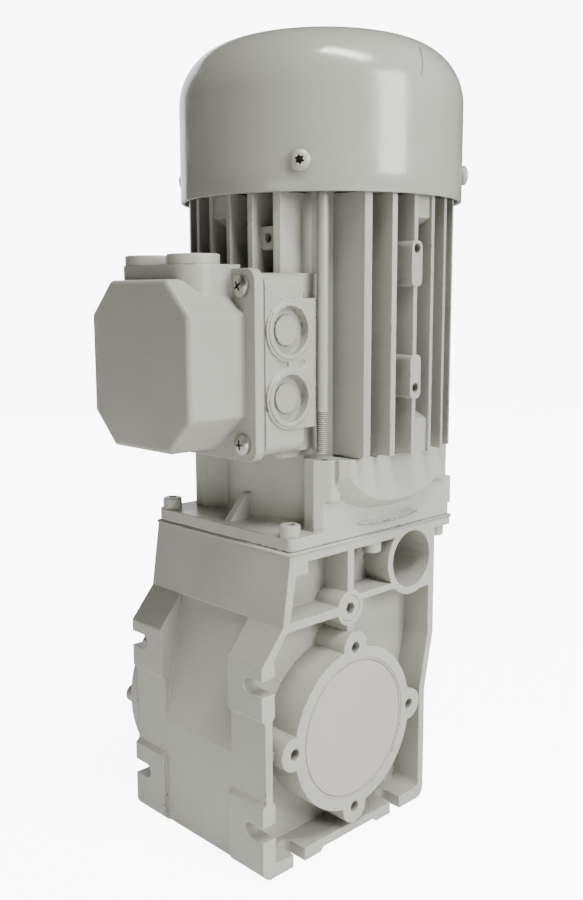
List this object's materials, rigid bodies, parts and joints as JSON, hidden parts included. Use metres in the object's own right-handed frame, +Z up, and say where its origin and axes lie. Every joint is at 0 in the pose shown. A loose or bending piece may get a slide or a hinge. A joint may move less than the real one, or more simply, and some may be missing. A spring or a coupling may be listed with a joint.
{
  "type": "gear motor",
  "caption": "Upright finned electric motor on a foot-mounted bevel gear case, with terminal box on the side, fan cover on top and a keyed output shaft at the back.",
  "frame": {"origin": "centre of the bottom foot slots, on the bottom foot plane, straight below the output axis", "axes": "+Z up along the motor axis, +Y along the output shaft out of the gear case, -X towards the terminal box and the side feet"},
  "size_m": [0.1622, 0.1552, 0.3516],
  "materials": {
    "painted": "satin light grey paint on aluminium castings",
    "cowl": "satin light grey paint on pressed steel sheet",
    "box": "satin light grey paint on die-cast aluminium",
    "zinc": "zinc plated steel",
    "painted_screws": "steel, painted over with the castings",
    "plugs": "plastic, painted over",
    "gasket": "matt",
    "steel": "machined",
    "spring_steel": "phosphated",
    "bearing_steel": "ground",
    "laminations": "stacked sheet, turned",
    "copper": "enamelled winding wire, varnished",
    "brass": "bright",
    "black_plastic": "moulded"
  },
  "bodies": {
    "case": {"gear_case": "painted", "case_gasket": "gasket", "flange_screws": "painted_screws", "output_cover": "painted", "output_cover_screws": "zinc", "closing_cap": "painted_screws", "oil_plug": "painted_screws", "output_seal": "gasket", "bearing_clip": "spring_steel", "outer_spacer": "steel", "drive_shield": "painted", "motor_seal": "gasket", "motor_housing": "painted", "stator_core": "laminations", "windings": "copper", "fan_shield": "painted", "tie_rods": "painted_screws", "tie_rod_nuts": "zinc", "fan_cover": "cowl", "fan_cover_screws": "zinc", "terminal_base": "box", "base_screws": "zinc", "terminal_gasket": "gasket", "terminal_cover": "box", "cover_screws": "zinc", "blanking_plugs": "plugs", "terminal_board": "black_plastic", "board_screws": "zinc", "terminal_studs": "brass", "earth_screw": "zinc", "output_bearing_front_outer": "bearing_steel", "output_bearing_rear_outer": "bearing_steel", "counter_bearing_low_outer": "bearing_steel", "counter_bearing_high_outer": "bearing_steel", "motor_bearing_outer": "bearing_steel", "fan_bearing_outer": "bearing_steel"},
    "rotor": {"rotor_shaft": "steel", "rotor_core": "laminations", "motor_pinion": "steel", "fan": "black_plastic", "motor_bearing_inner": "bearing_steel", "fan_bearing_inner": "bearing_steel"},
    "countershaft_set": {"countershaft": "steel", "helical_wheel": "steel", "helical_key": "steel", "wheel_clip": "spring_steel", "counter_bearing_low_inner": "bearing_steel", "counter_bearing_high_inner": "bearing_steel", "inner_spacer": "steel"},
    "output_set": {"output_shaft": "steel", "bevel_wheel": "steel", "wheel_key": "steel", "output_key": "steel", "output_spacer": "steel", "output_bearing_front_inner": "bearing_steel", "output_bearing_rear_inner": "bearing_steel"}
  },
  "joints": [
    {"name": "rotor_spin", "type": "hinge", "parent": "case", "child": "rotor", "pos_m": [0.02351, -0.0025, 0.2], "axis": [0, 0, 1], "continuous": true},
    {"name": "countershaft_spin", "type": "hinge", "parent": "case", "child": "countershaft_set", "pos_m": [0, 0.00601, 0.105], "axis": [0, 0, 1], "continuous": true},
    {"name": "output_spin", "type": "hinge", "parent": "case", "child": "output_set", "pos_m": [0, 0, 0.0515], "axis": [0, 1, 0], "continuous": true}
  ],
  "couplings": [
    {"joint": "countershaft_spin", "follows": "rotor_spin", "ratio": -0.2973},
    {"joint": "output_spin", "follows": "rotor_spin", "ratio": -0.072512}
  ]
}
